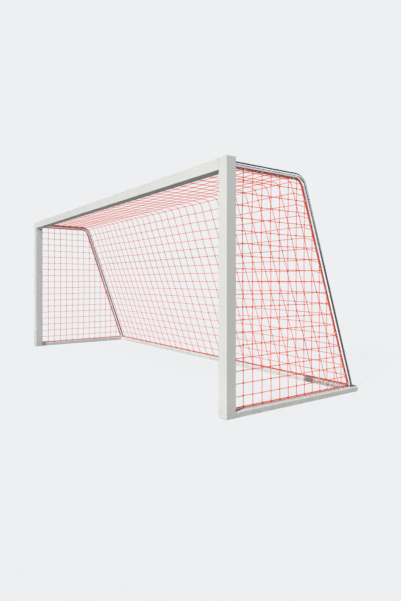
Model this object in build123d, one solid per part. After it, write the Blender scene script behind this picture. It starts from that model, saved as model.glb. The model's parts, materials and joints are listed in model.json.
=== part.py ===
from build123d import *
import math
import os

# Free-standing 5 x 2 m goal. Millimetres, +Z up, +X along the crossbar, +Y from the mouth to the back.
# The origin is on the floor, in the middle of the goal's width and depth.

# ---- driving dimensions ----
GOAL_WIDTH = 5200.0
GOAL_HEIGHT = 2100.0
GOAL_DEPTH = 1690.0

PROFILE = 100.0
PROFILE_CORNER = 4.0
WALL = 3.0
SLOT_MOUTH = 10.0
TEE_WIDTH = 20.0
TEE_DEPTH = 11.0
CHANNEL_WIDTH = 26.0
CHANNEL_DEPTH = 17.0

RAIL_WIDTH = 75.0
RAIL_HEIGHT = 50.0
RAIL_TOP_CORNER = 12.0
RAIL_BOTTOM_CORNER = 3.0
RAIL_SLOT_MOUTH = 8.0
RAIL_TEE_WIDTH = 14.0
RAIL_TEE_DEPTH = 7.0
RAIL_LIP = 2.5
RAIL_CHANNEL_WIDTH = 19.0
RAIL_CHANNEL_DEPTH = 12.0
RAIL_SLOT_OFFSET = -12.5
RAIL_CAP = 8.0

HOOP_DIAMETER = 48.0
HOOP_WALL = 2.5
HOOP_HEIGHT = 2055.0
HOOP_BEND_RADIUS = 120.0
HOOP_SLOPE = math.atan(0.353)
HOOP_FOOT_DEPTH = 1632.0

ROPE_DIAMETER = 12.0
ROPE_STANDOFF = 13.0
HOOP_ROPE_OFFSET = 32.0
NET_THICKNESS = 5.0
NET_GAP = 10.5

# ---- derived places ----
HALF_WIDTH = GOAL_WIDTH / 2
FRONT = -GOAL_DEPTH / 2
REAR = GOAL_DEPTH / 2
POST_X = HALF_WIDTH - PROFILE / 2
POST_Y = FRONT + PROFILE / 2
POST_BACK = FRONT + PROFILE
POST_INNER = HALF_WIDTH - PROFILE
CROSSBAR_Z = GOAL_HEIGHT - PROFILE / 2
CAP_PLATE = 4.0
RAIL_X = HALF_WIDTH - RAIL_WIDTH / 2
RAIL_INNER = HALF_WIDTH - RAIL_WIDTH
RAIL_END = REAR - RAIL_CAP
REAR_RAIL_Y = REAR - RAIL_WIDTH / 2
REAR_SLOT_Y = REAR_RAIL_Y + RAIL_SLOT_OFFSET
HOOP_X = POST_X
HOOP_RADIUS = HOOP_DIAMETER / 2
ROPE_RADIUS = ROPE_DIAMETER / 2
FOOT_Y = FRONT + HOOP_FOOT_DEPTH
ROPE_FLOOR_Z = RAIL_HEIGHT + ROPE_STANDOFF
ROPE_POST_Y = POST_BACK + ROPE_STANDOFF


def corner_y(offset):
    """Y where the hoop's level run and sloping leg, both moved inwards by offset, would cross."""
    run_z = HOOP_HEIGHT - offset
    leg_y = FOOT_Y - offset / math.cos(HOOP_SLOPE)
    return leg_y - (run_z - RAIL_HEIGHT) * math.tan(HOOP_SLOPE)


def leg_y(z, offset):
    """Y of the leg's line, moved inwards by offset, at height z."""
    return FOOT_Y - offset / math.cos(HOOP_SLOPE) - (z - RAIL_HEIGHT) * math.tan(HOOP_SLOPE)


def both_sides(shape):
    """The shape on the right and its mirror image on the left."""
    return {"right": shape, "left": mirror(shape, about=Plane.YZ)}


def group(shapes):
    """One compound that holds the separate solids of a group."""
    return Compound(children=[solid for shape in shapes for solid in shape.solids()])


def save(node, shape):
    export_step(shape, f"parts/{node}.step")


def save_pair(node, shape):
    for side, solid in both_sides(shape).items():
        save(f"{node}_{side}", solid)


# ---- sections ----
def frame_section():
    """Hollow square section with a net groove in its +y side."""
    outer = RectangleRounded(PROFILE, PROFILE, PROFILE_CORNER)
    cavity = RectangleRounded(PROFILE - 2 * WALL, PROFILE - 2 * WALL, PROFILE_CORNER - 2)
    channel = Pos(0, PROFILE / 2 - CHANNEL_DEPTH / 2) * Rectangle(CHANNEL_WIDTH, CHANNEL_DEPTH)
    mouth = Pos(0, PROFILE / 2 - WALL / 2) * Rectangle(SLOT_MOUTH, WALL)
    tee = Pos(0, PROFILE / 2 - WALL - TEE_DEPTH / 2) * Rectangle(TEE_WIDTH, TEE_DEPTH)
    return outer - (cavity - channel) - mouth - tee


def rounded_rail(width, height, top_radius, bottom_radius):
    blank = Rectangle(width, height)
    blank = fillet(blank.vertices().group_by(Axis.Y)[-1], top_radius)
    return fillet(blank.vertices().group_by(Axis.Y)[0], bottom_radius)


def rail_section():
    """Hollow floor rail, rounded on top, with a net groove nearer its -x side."""
    outer = rounded_rail(RAIL_WIDTH, RAIL_HEIGHT, RAIL_TOP_CORNER, RAIL_BOTTOM_CORNER)
    cavity = rounded_rail(RAIL_WIDTH - 2 * WALL, RAIL_HEIGHT - 2 * WALL, RAIL_TOP_CORNER - WALL, 1.0)
    top = RAIL_HEIGHT / 2
    channel_place = Pos(RAIL_SLOT_OFFSET, top - RAIL_CHANNEL_DEPTH / 2)
    channel = channel_place * Rectangle(RAIL_CHANNEL_WIDTH, RAIL_CHANNEL_DEPTH)
    mouth = Pos(RAIL_SLOT_OFFSET, top - RAIL_LIP / 2) * Rectangle(RAIL_SLOT_MOUTH, RAIL_LIP)
    tee_place = Pos(RAIL_SLOT_OFFSET, top - RAIL_LIP - RAIL_TEE_DEPTH / 2)
    tee = tee_place * Rectangle(RAIL_TEE_WIDTH, RAIL_TEE_DEPTH)
    return outer - (cavity - channel) - mouth - tee


def rail_plug_section():
    """Solid section that slides into the rail's cavity."""
    fit = 0.3
    width = RAIL_WIDTH - 2 * WALL - 2 * fit
    height = RAIL_HEIGHT - 2 * WALL - 2 * fit
    body = rounded_rail(width, height, RAIL_TOP_CORNER - WALL, 1.0)
    notch_depth = RAIL_CHANNEL_DEPTH - WALL + fit
    notch_place = Pos(RAIL_SLOT_OFFSET, height / 2 - notch_depth / 2)
    notch = notch_place * Rectangle(RAIL_CHANNEL_WIDTH + 2 * fit, notch_depth)
    return body - notch


# ---- planes of the members: local x and y lie in the section, z runs along the member ----
def side_rail_plane(y):
    return Plane(origin=(RAIL_X, y, RAIL_HEIGHT / 2), x_dir=(1, 0, 0), z_dir=(0, -1, 0))


def rear_rail_plane(x):
    return Plane(origin=(x, REAR_RAIL_Y, RAIL_HEIGHT / 2), x_dir=(0, 1, 0), z_dir=(1, 0, 0))


def hole(start, direction, radius, length):
    """Cylinder from start along direction, for bores and shanks."""
    return extrude(Plane(origin=start, z_dir=direction) * Circle(radius), length)


# ---- fasteners ----
BOLT_RADIUS = 4.0
BOLT_HOLE = 4.3
HEAD_RADIUS = 7.0
HEAD_HEIGHT = 4.5
NUT_PLATE = 5.0


def button_bolt(seat, direction, length):
    """Dome-headed bolt: seat is the point under the head, direction is the way the shank goes."""
    plane = Plane(origin=seat, z_dir=direction)
    shank = extrude(plane * Circle(BOLT_RADIUS), length)
    head = extrude(plane * Circle(HEAD_RADIUS), -HEAD_HEIGHT)
    circles = head.edges().filter_by(GeomType.CIRCLE)
    rim = circles.sort_by(lambda edge: (edge.center() - plane.origin).dot(plane.z_dir))[0]
    head = fillet(rim, HEAD_HEIGHT * 0.7)
    socket = extrude(plane.offset(-HEAD_HEIGHT) * RegularPolygon(2.6, 6), 2.5)
    return shank + head - socket


def hex_nut(seat, direction, height=6.5):
    plane = Plane(origin=seat, z_dir=direction)
    return extrude(plane * (RegularPolygon(6.5, 6, major_radius=False) - Circle(BOLT_RADIUS + 0.1)), height)


# ---- front frame ----
FRAME_BOLT_OFFSET = 32.0
CROSSBAR_BOLT_X = (POST_INNER - 60.0, POST_INNER - 150.0)
POST_BOLT_Z = (1930.0, 1870.0)
INSERT_HALF = 46.3
INSERT_FIT = 0.3
INSERT_WALL = 8.0
BACK_STRIP = 6.0
INSERT_LEG = 200.0
FLANGE_BOLT_Z = (HOOP_HEIGHT - 32.0, HOOP_HEIGHT + 32.0)


def post():
    body = extrude(Plane(origin=(POST_X, POST_Y, CAP_PLATE)) * frame_section(), GOAL_HEIGHT - 2 * CAP_PLATE)
    window_front = POST_Y - INSERT_HALF - INSERT_FIT
    window_back = POST_BACK - BACK_STRIP
    window = Box(4 * WALL, window_back - window_front, 2 * (INSERT_HALF + INSERT_FIT))
    body -= Pos(POST_INNER, (window_front + window_back) / 2, CROSSBAR_Z) * window
    for z in POST_BOLT_Z:
        for side in (-1, 1):
            body -= hole((POST_X + side * FRAME_BOLT_OFFSET, POST_BACK, z), (0, -1, 0), BOLT_HOLE, WALL)
    return body


def crossbar():
    plane = Plane(origin=(POST_INNER, POST_Y, CROSSBAR_Z), x_dir=(0, 0, 1), z_dir=(-1, 0, 0))
    body = extrude(plane * frame_section(), 2 * POST_INNER)
    for x in CROSSBAR_BOLT_X:
        for end in (-1, 1):
            for side in (-1, 1):
                seat = (end * x, POST_BACK, CROSSBAR_Z + side * FRAME_BOLT_OFFSET)
                body -= hole(seat, (0, -1, 0), BOLT_HOLE, WALL)
    return body


def corner_insert():
    """L-shaped casting: one leg in the crossbar, one down the post, both open in the middle."""
    rear_gap = 3.0
    depth = 2 * INSERT_HALF - rear_gap
    centre_y = POST_Y - rear_gap / 2
    inside_x = POST_INNER - INSERT_LEG
    outside_x = POST_X + INSERT_HALF
    top = GOAL_HEIGHT - CAP_PLATE - 2.5
    beam_height = 2 * INSERT_HALF
    beam_length = outside_x - inside_x
    beam = Pos((inside_x + outside_x) / 2, centre_y, CROSSBAR_Z) * Box(beam_length, depth, beam_height)
    leg_bottom = CROSSBAR_Z - INSERT_HALF - INSERT_LEG
    leg_height = top - leg_bottom
    leg = Pos(POST_X, centre_y, leg_bottom + leg_height / 2) * Box(2 * INSERT_HALF, depth, leg_height)
    hollow_width = 2 * (INSERT_HALF - INSERT_WALL)
    hollow_depth = 60.0
    hollow_y = POST_Y - INSERT_HALF + INSERT_WALL + hollow_depth / 2
    beam_hollow_length = POST_X + hollow_width / 2 - inside_x
    beam_hollow = Pos(inside_x + beam_hollow_length / 2, hollow_y, CROSSBAR_Z)
    beam_hollow *= Box(beam_hollow_length, hollow_depth, hollow_width)
    leg_hollow_height = CROSSBAR_Z + hollow_width / 2 - leg_bottom
    leg_hollow = Pos(POST_X, hollow_y, leg_bottom + leg_hollow_height / 2)
    leg_hollow *= Box(hollow_width, hollow_depth, leg_hollow_height)
    notch_depth = CHANNEL_DEPTH + 1.0
    notch_y = POST_BACK - notch_depth / 2
    beam_notch = Pos(inside_x + INSERT_LEG / 2, notch_y, CROSSBAR_Z)
    beam_notch *= Box(INSERT_LEG + 4 * WALL, notch_depth, CHANNEL_WIDTH + 1)
    leg_notch_place = Pos(POST_X, notch_y, leg_bottom + leg_height / 2)
    leg_notch = leg_notch_place * Box(CHANNEL_WIDTH + 1, notch_depth, leg_height)
    above = Pos(POST_X, POST_Y, top + 25) * Box(PROFILE, PROFILE, 50)
    wall_gap = Pos(POST_INNER, POST_BACK, CROSSBAR_Z) * Box(3 * WALL, 2 * BACK_STRIP + 1, 2 * PROFILE)
    body = beam + leg - beam_hollow - leg_hollow - beam_notch - leg_notch - above - wall_gap
    for seat in corner_bolt_seats():
        body -= hole(seat, (0, -1, 0), BOLT_RADIUS + 0.1, CORNER_BOLT_LENGTH + 2)
    return body


CORNER_BOLT_LENGTH = 24.0


def corner_bolt_seats():
    heights = (CROSSBAR_Z - FRAME_BOLT_OFFSET, CROSSBAR_Z + FRAME_BOLT_OFFSET)
    seats = [(x, POST_BACK, z) for x in CROSSBAR_BOLT_X for z in heights]
    seats += [(POST_X + side * FRAME_BOLT_OFFSET, POST_BACK, z) for z in POST_BOLT_Z for side in (-1, 1)]
    return seats


def post_plug(ring_height):
    """Square plate with a ring that fits inside the post, clear of the groove; the ring points up."""
    plate = extrude(RectangleRounded(PROFILE, PROFILE, PROFILE_CORNER), CAP_PLATE)
    plate = chamfer(plate.faces().sort_by(Axis.Z)[0].edges(), 0.8)
    ring_outer = PROFILE - 2 * WALL - 0.6
    ring = RectangleRounded(ring_outer, ring_outer, 2) - RectangleRounded(ring_outer - 8, ring_outer - 8, 1)
    ring -= Pos(0, PROFILE / 2 - CHANNEL_DEPTH / 2) * Rectangle(CHANNEL_WIDTH + 1, CHANNEL_DEPTH + 1)
    return plate + extrude(Plane.XY.offset(CAP_PLATE) * ring, ring_height)


def post_cap():
    flipped = mirror(post_plug(2.0), about=Plane.XY)
    return Pos(POST_X, POST_Y, GOAL_HEIGHT) * flipped


def post_foot_plug():
    return Pos(POST_X, POST_Y, 0) * post_plug(15.0)


# ---- ground frame ----
RAIL_BOLT_Z = (13.0, 27.0)
REAR_BOLT_Y = (REAR - 60.0, REAR - 33.0)
RAIL_INSERT_LENGTH = 110.0
RAIL_BOLT_LENGTH = 50.0
CAP_TONGUE = 6.0
FOOT_BOLT_X = 2575.0
FOOT_BOLT_SPREAD = 36.0


def foot_bolt_seats(z):
    return [(FOOT_BOLT_X, FOOT_Y + side * FOOT_BOLT_SPREAD, z) for side in (-1, 1)]


def ground_rail():
    body = extrude(side_rail_plane(RAIL_END) * rail_section(), RAIL_END - POST_BACK)
    for seat in foot_bolt_seats(RAIL_HEIGHT):
        body -= hole(seat, (0, 0, -1), BOLT_HOLE, WALL)
    for y in REAR_BOLT_Y:
        body -= hole((RAIL_INNER, y, RAIL_HEIGHT / 2), (1, 0, 0), BOLT_HOLE, WALL)
    return body


def rail_insert():
    body = extrude(side_rail_plane(POST_BACK + RAIL_INSERT_LENGTH) * rail_plug_section(), RAIL_INSERT_LENGTH)
    for z in RAIL_BOLT_Z:
        body -= hole((POST_X, POST_BACK, z), (0, 1, 0), BOLT_RADIUS + 0.1, RAIL_BOLT_LENGTH)
    return body


def rail_bolts():
    """Bolts with flat square heads in the post's groove, running back into the rail's plug."""
    bolts = []
    for z in RAIL_BOLT_Z:
        head = Pos(POST_X, POST_BACK - WALL - NUT_PLATE / 2, z) * Box(18, NUT_PLATE, 12)
        shank = hole((POST_X, POST_BACK - WALL, z), (0, 1, 0), BOLT_RADIUS, RAIL_BOLT_LENGTH)
        bolts.append(head + shank)
    return group(bolts)


def rail_end_cap():
    """Plug for the rail's rear end with a rounded outer face."""
    plane = side_rail_plane(REAR)
    outline = rounded_rail(RAIL_WIDTH, RAIL_HEIGHT, RAIL_TOP_CORNER, RAIL_BOTTOM_CORNER)
    plate = extrude(plane * outline, RAIL_CAP)
    plate = fillet(plate.faces().sort_by(Axis.Y)[-1].edges(), 2.5)
    tongue = extrude(side_rail_plane(RAIL_END) * rail_plug_section(), CAP_TONGUE)
    return plate + tongue


def rear_rail():
    return extrude(rear_rail_plane(-RAIL_INNER) * rail_section(), 2 * RAIL_INNER)


def rear_insert():
    body = extrude(rear_rail_plane(RAIL_INNER - RAIL_INSERT_LENGTH) * rail_plug_section(), RAIL_INSERT_LENGTH)
    for y in REAR_BOLT_Y:
        body -= hole((RAIL_INNER, y, RAIL_HEIGHT / 2), (-1, 0, 0), BOLT_RADIUS + 0.1, RAIL_BOLT_LENGTH)
    return body


def rear_rail_bolts():
    seats = [(RAIL_INNER + WALL, y, RAIL_HEIGHT / 2) for y in REAR_BOLT_Y]
    return group(button_bolt(seat, (-1, 0, 0), RAIL_BOLT_LENGTH - 5) for seat in seats)


# ---- net hoops ----
FLANGE_PLATE = 6.0
FOOT_PLATE = 5.0
SPIGOT_LENGTH = 50.0
SPIGOT_RADIUS = HOOP_RADIUS - HOOP_WALL - 0.1
LEG_DIRECTION = (0, math.sin(HOOP_SLOPE), -math.cos(HOOP_SLOPE))
LEG_UP = (0, -math.sin(HOOP_SLOPE), math.cos(HOOP_SLOPE))
SET_SCREW_RADIUS = 3.0
SET_SCREW_DISTANCE = 30.0


def hoop_path(offset, end_z):
    """Level run and sloping leg with a bend between them, moved inwards by offset."""
    bend = HOOP_BEND_RADIUS - offset
    start = (HOOP_X, POST_BACK, HOOP_HEIGHT - offset)
    corner = (HOOP_X, corner_y(offset), HOOP_HEIGHT - offset)
    end = (HOOP_X, leg_y(end_z, offset), end_z)
    return FilletPolyline(start, corner, end, radius=bend)


def net_hoop():
    path = hoop_path(0, 0)
    section = Plane(origin=path @ 0, z_dir=path % 0) * (Circle(HOOP_RADIUS) - Circle(HOOP_RADIUS - HOOP_WALL))
    tube = sweep(section, path=path)
    tube -= Pos(HOOP_X, FOOT_Y, RAIL_HEIGHT + FOOT_PLATE - 100) * Box(200, 300, 200)
    tube -= Pos(HOOP_X, POST_BACK + FLANGE_PLATE - 50, HOOP_HEIGHT) * Box(200, 100, 200)
    for start in set_screw_starts():
        tube -= hole(start, (1, 0, 0), SET_SCREW_RADIUS + 0.2, HOOP_RADIUS)
    return tube


def set_screw_starts():
    """Points on the tube's inner side, above each spigot, where a set screw goes in along +X."""
    top = (HOOP_X - HOOP_RADIUS, POST_BACK + FLANGE_PLATE + SET_SCREW_DISTANCE, HOOP_HEIGHT)
    z = RAIL_HEIGHT + FOOT_PLATE + SET_SCREW_DISTANCE
    bottom = (HOOP_X - HOOP_RADIUS, leg_y(z, 0), z)
    return [top, bottom]


def hoop_top_flange():
    plate_height = 92.0
    plate = Pos(POST_X, POST_BACK + FLANGE_PLATE / 2, HOOP_HEIGHT) * Box(60, FLANGE_PLATE, plate_height)
    plate = fillet(plate.edges().filter_by(Axis.Y), 8)
    spigot = hole((HOOP_X, POST_BACK + FLANGE_PLATE, HOOP_HEIGHT), (0, 1, 0), SPIGOT_RADIUS, SPIGOT_LENGTH)
    body = plate + spigot
    for z in FLANGE_BOLT_Z:
        body -= hole((POST_X, POST_BACK, z), (0, 1, 0), BOLT_HOLE, FLANGE_PLATE)
    return body - set_screw_bore(set_screw_starts()[0])


def set_screw_bore(start):
    return hole(start, (1, 0, 0), SET_SCREW_RADIUS + 0.1, HOOP_RADIUS)


def hoop_top_bolts():
    seat_y = POST_BACK + FLANGE_PLATE
    length = FLANGE_PLATE + WALL + NUT_PLATE
    return group(button_bolt((POST_X, seat_y, z), (0, -1, 0), length) for z in FLANGE_BOLT_Z)


def hoop_top_nuts():
    """Flat nuts that sit in the post's groove."""
    nuts = []
    for z in FLANGE_BOLT_Z:
        plate = Pos(POST_X, POST_BACK - WALL - NUT_PLATE / 2, z) * Box(18, NUT_PLATE, 18)
        nuts.append(plate - hole((POST_X, POST_BACK, z), (0, -1, 0), BOLT_RADIUS + 0.1, TEE_WIDTH))
    return group(nuts)


def hoop_foot_flange():
    plate_inner = 2528.0
    plate_outer = 2588.0
    plate_length = 108.0
    centre_x = (plate_inner + plate_outer) / 2
    plate = Box(plate_outer - plate_inner, plate_length, FOOT_PLATE)
    plate = Pos(centre_x, FOOT_Y, RAIL_HEIGHT + FOOT_PLATE / 2) * plate
    plate = fillet(plate.edges().filter_by(Axis.Z), 8)
    root = (HOOP_X, leg_y(RAIL_HEIGHT, 0), RAIL_HEIGHT)
    spigot = hole(root, LEG_UP, SPIGOT_RADIUS, SPIGOT_LENGTH + 10)
    spigot -= Pos(HOOP_X, FOOT_Y, RAIL_HEIGHT - 50) * Box(100, 200, 100)
    body = plate + spigot
    for seat in foot_bolt_seats(RAIL_HEIGHT + FOOT_PLATE):
        body -= hole(seat, (0, 0, -1), BOLT_HOLE, FOOT_PLATE)
    return body - set_screw_bore(set_screw_starts()[1])


def hoop_foot_bolts():
    length = FOOT_PLATE + WALL + 7.5
    return group(button_bolt(seat, (0, 0, -1), length) for seat in foot_bolt_seats(RAIL_HEIGHT + FOOT_PLATE))


def hoop_foot_nuts():
    return group(hex_nut(seat, (0, 0, -1)) for seat in foot_bolt_seats(RAIL_HEIGHT - WALL))


def hoop_set_screws():
    screws = []
    for start in set_screw_starts():
        shank = hole(start, (1, 0, 0), SET_SCREW_RADIUS, 16)
        head = hole(start, (-1, 0, 0), SET_SCREW_RADIUS + 2, 3)
        screws.append(shank + head)
    return group(screws)


# ---- net, ropes, hooks and clips ----
CORNER_BEND = 30.0
ROPE_END_GAP = 1.0
HOOK_WALL = 3.0
HOOK_BORE = ROPE_RADIUS + 0.4
HOOK_LENGTH = 8.0
HOOK_REACH = 2400.0


def side_rope():
    """Edge rope round one side panel: down the post, along the rail, up the leg and home under the hoop."""
    top_z = HOOP_HEIGHT - HOOP_ROPE_OFFSET
    points = [
        (HOOP_X, ROPE_POST_Y, top_z - CORNER_BEND - ROPE_END_GAP),
        (HOOP_X, ROPE_POST_Y, ROPE_FLOOR_Z),
        (HOOP_X, leg_y(ROPE_FLOOR_Z, HOOP_ROPE_OFFSET), ROPE_FLOOR_Z),
        (HOOP_X, corner_y(HOOP_ROPE_OFFSET), top_z),
        (HOOP_X, ROPE_POST_Y, top_z),
        (HOOP_X, ROPE_POST_Y, top_z - CORNER_BEND - ROPE_END_GAP / 2),
    ]
    radii = [CORNER_BEND, CORNER_BEND, HOOP_BEND_RADIUS - HOOP_ROPE_OFFSET, CORNER_BEND]
    path = FilletPolyline(*points, radius=radii)
    return sweep(Plane(origin=path @ 0, z_dir=path % 0) * Circle(ROPE_RADIUS), path=path)


def straight_rope(y, z, half_length):
    return hole((-half_length, y, z), (1, 0, 0), ROPE_RADIUS, 2 * half_length)


def net_side():
    """Flat side panel inside its edge rope, with corners that follow the rope's."""
    offset = HOOP_ROPE_OFFSET + NET_GAP
    floor = ROPE_FLOOR_Z + NET_GAP
    front = ROPE_POST_Y + NET_GAP
    top = HOOP_HEIGHT - offset
    corners = [(front, floor), (leg_y(floor, offset), floor), (corner_y(offset), top), (front, top)]
    small = CORNER_BEND - NET_GAP
    outline = FilletPolyline(*corners, radius=[small, small, HOOP_BEND_RADIUS - offset, small], close=True)
    plane = Plane(origin=(HOOP_X - NET_THICKNESS / 2, 0, 0), x_dir=(0, 1, 0), z_dir=(1, 0, 0))
    return extrude(plane * make_face(outline), NET_THICKNESS)


ROOF_HALF_WIDTH = 2518.0
ROOF_BEND = 160.0
ROOF_Z = 2036.0


def roof_profile():
    """Middle line of the roof and back panel, from the crossbar's edge rope to the rear rail's."""
    front = (ROPE_POST_Y + NET_GAP, CROSSBAR_Z)
    corner = (corner_y(HOOP_ROPE_OFFSET + NET_GAP), ROOF_Z)
    bottom = (REAR_SLOT_Y - NET_GAP, ROPE_FLOOR_Z + NET_GAP)
    return FilletPolyline(front, corner, bottom, radius=ROOF_BEND)


def net_roof_and_back():
    line = roof_profile()
    plane = Plane(origin=(-ROOF_HALF_WIDTH, 0, 0), x_dir=(0, 1, 0), z_dir=(1, 0, 0))
    return extrude(plane * trace(line, line_width=NET_THICKNESS), 2 * ROOF_HALF_WIDTH)


def net_hook(lip, tee_width):
    """Plastic hook: foot in the groove, neck through its mouth, and an open ring round the rope along z."""
    centre = ROPE_STANDOFF
    outer = HOOK_BORE + HOOK_WALL
    foot_depth = 2.5
    foot = Pos(0, -lip - foot_depth / 2) * Rectangle(tee_width - 2, foot_depth)
    neck_length = centre - HOOK_BORE + lip
    neck = Pos(0, neck_length / 2 - lip - 0.5) * Rectangle(6, neck_length)
    ring = Pos(0, centre) * Circle(outer)
    outline = (foot + neck + ring) - Pos(0, centre) * Circle(HOOK_BORE)
    outline -= Pos(-outer, centre + 2) * Rectangle(2 * outer - 4, 6)
    return extrude(Plane.XY.offset(-HOOK_LENGTH / 2) * outline, HOOK_LENGTH)


def frame_hook():
    return net_hook(WALL, TEE_WIDTH)


def rail_hook():
    return net_hook(RAIL_LIP, RAIL_TEE_WIDTH)


def spread(first, last, count):
    """Evenly spaced values from first to last."""
    return [first + (last - first) * i / (count - 1) for i in range(count)]


def crossbar_hooks():
    places = [
        Plane(origin=(x, POST_BACK, CROSSBAR_Z), x_dir=(0, 0, -1), z_dir=(1, 0, 0))
        for x in spread(-HOOK_REACH, HOOK_REACH, 21)
    ]
    return group(place.location * frame_hook() for place in places)


def post_hooks():
    return group(Pos(POST_X, POST_BACK, z) * frame_hook() for z in spread(200, 1900, 9))


def ground_rail_hooks():
    places = [
        Plane(origin=(HOOP_X, y, RAIL_HEIGHT), x_dir=(-1, 0, 0), z_dir=(0, 1, 0))
        for y in spread(POST_BACK + 150, FOOT_Y - 150, 7)
    ]
    return group(place.location * rail_hook() for place in places)


def rear_rail_hooks():
    places = [
        Plane(origin=(x, REAR_SLOT_Y, RAIL_HEIGHT), x_dir=(0, -1, 0), z_dir=(-1, 0, 0))
        for x in spread(-HOOK_REACH, HOOK_REACH, 21)
    ]
    return group(place.location * rail_hook() for place in places)


def hoop_clip():
    """Clip with one ring round the hoop and a smaller one round the rope inside it."""
    tube_bore = HOOP_RADIUS + 0.2
    tube_ring = Circle(tube_bore + 2)
    rope_ring = Pos(0, -HOOP_ROPE_OFFSET) * Circle(HOOK_BORE + 2.5)
    bores = Circle(tube_bore) + Pos(0, -HOOP_ROPE_OFFSET) * Circle(HOOK_BORE)
    width = 10.0
    return extrude(Plane.XY.offset(-width / 2) * (tube_ring + rope_ring - bores), width)


def hoop_clips():
    clips = []
    run_end = corner_y(0) - HOOP_BEND_RADIUS
    for y in spread(POST_BACK + 130, run_end, 4):
        place = Plane(origin=(HOOP_X, y, HOOP_HEIGHT), x_dir=(-1, 0, 0), z_dir=(0, 1, 0))
        clips.append(place.location * hoop_clip())
    for z in spread(1850, 200, 9):
        place = Plane(origin=(HOOP_X, leg_y(z, 0), z), x_dir=(-1, 0, 0), z_dir=LEG_DIRECTION)
        clips.append(place.location * hoop_clip())
    return group(clips)


# ---- plain label on the rear rail ----
LABEL_LENGTH = 400.0
LABEL_HEIGHT = 24.0
LABEL_THICKNESS = 0.8
LABEL_X = 2260.0


def blank_label():
    front_face = REAR_RAIL_Y - RAIL_WIDTH / 2
    centre = (LABEL_X, front_face - LABEL_THICKNESS / 2, RAIL_HEIGHT / 2 - 4)
    plate = Pos(*centre) * Box(LABEL_LENGTH, LABEL_THICKNESS, LABEL_HEIGHT)
    return fillet(plate.edges().filter_by(Axis.Y), 4)


def save_both_in_one(node, shape):
    """Writes the right-hand and left-hand solids of a fastener group into one node."""
    save(node, group(both_sides(shape).values()))


def main():
    os.makedirs("parts", exist_ok=True)
    save_pair("post", post())
    save("crossbar", crossbar())
    save_pair("corner_insert", corner_insert())
    corner_bolts = group(button_bolt(seat, (0, -1, 0), CORNER_BOLT_LENGTH) for seat in corner_bolt_seats())
    save_both_in_one("corner_bolts", corner_bolts)
    save_pair("post_cap", post_cap())
    save_pair("post_foot_plug", post_foot_plug())

    save_pair("ground_rail", ground_rail())
    save_pair("rail_insert", rail_insert())
    save_both_in_one("rail_bolts", rail_bolts())
    save_pair("rail_end_cap", rail_end_cap())
    save("rear_rail", rear_rail())
    save_pair("rear_insert", rear_insert())
    save_both_in_one("rear_rail_bolts", rear_rail_bolts())

    save_pair("net_hoop", net_hoop())
    save_pair("hoop_top_flange", hoop_top_flange())
    save_both_in_one("hoop_top_bolts", hoop_top_bolts())
    save_both_in_one("hoop_top_nuts", hoop_top_nuts())
    save_pair("hoop_foot_flange", hoop_foot_flange())
    save_both_in_one("hoop_foot_bolts", hoop_foot_bolts())
    save_both_in_one("hoop_foot_nuts", hoop_foot_nuts())
    save_both_in_one("hoop_set_screws", hoop_set_screws())

    save_pair("net_side", net_side())
    save("net_roof_and_back", net_roof_and_back())
    save_pair("net_edge_rope", side_rope())
    save("net_edge_rope_crossbar", straight_rope(ROPE_POST_Y, CROSSBAR_Z, ROOF_HALF_WIDTH - 30))
    save("net_edge_rope_rear", straight_rope(REAR_SLOT_Y, ROPE_FLOOR_Z, ROOF_HALF_WIDTH - 10))
    save("net_hooks_crossbar", crossbar_hooks())
    save_pair("net_hooks_post", post_hooks())
    save_pair("net_hooks_rail", ground_rail_hooks())
    save("net_hooks_rear", rear_rail_hooks())
    save_pair("hoop_clips", hoop_clips())
    save("blank_label", blank_label())


main()
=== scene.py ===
import json
import math

import bpy
import numpy as np
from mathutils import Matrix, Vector


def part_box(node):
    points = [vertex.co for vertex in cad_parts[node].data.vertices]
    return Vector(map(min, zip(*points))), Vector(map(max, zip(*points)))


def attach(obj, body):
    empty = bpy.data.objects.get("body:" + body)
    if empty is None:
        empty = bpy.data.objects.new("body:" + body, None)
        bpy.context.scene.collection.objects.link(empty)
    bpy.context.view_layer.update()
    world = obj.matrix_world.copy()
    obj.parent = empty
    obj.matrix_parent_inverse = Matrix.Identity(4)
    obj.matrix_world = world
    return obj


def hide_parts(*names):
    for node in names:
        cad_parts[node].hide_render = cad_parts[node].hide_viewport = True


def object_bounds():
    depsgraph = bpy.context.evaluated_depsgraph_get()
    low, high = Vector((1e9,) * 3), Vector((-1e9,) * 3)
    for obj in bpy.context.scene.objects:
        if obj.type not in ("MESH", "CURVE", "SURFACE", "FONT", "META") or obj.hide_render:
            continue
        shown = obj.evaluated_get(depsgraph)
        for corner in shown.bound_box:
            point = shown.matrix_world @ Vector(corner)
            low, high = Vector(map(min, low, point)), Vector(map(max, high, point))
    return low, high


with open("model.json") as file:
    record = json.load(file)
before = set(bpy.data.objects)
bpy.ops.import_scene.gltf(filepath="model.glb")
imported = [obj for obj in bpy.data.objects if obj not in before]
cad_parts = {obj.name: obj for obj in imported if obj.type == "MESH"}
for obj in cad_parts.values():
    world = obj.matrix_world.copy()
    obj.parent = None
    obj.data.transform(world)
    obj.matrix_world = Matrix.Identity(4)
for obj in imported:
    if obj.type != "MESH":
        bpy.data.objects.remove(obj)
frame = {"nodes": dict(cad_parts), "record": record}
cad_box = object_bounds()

# ---- the hoops and the ropes along them, in metres, the same as the CAD's ----
HOOP_RADIUS = 0.024
HOOP_BEND = 0.120  # radius of the bend, at the tube's middle
HOOP_LEAN = math.atan(0.353)  # how far the leg leans from upright
ROPE_INSET = 0.032  # from the tube's middle to the rope's
ROPE_RADIUS = 0.006
ROPE_CORNER = 0.030  # how far a rope's other corners are rounded

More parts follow.
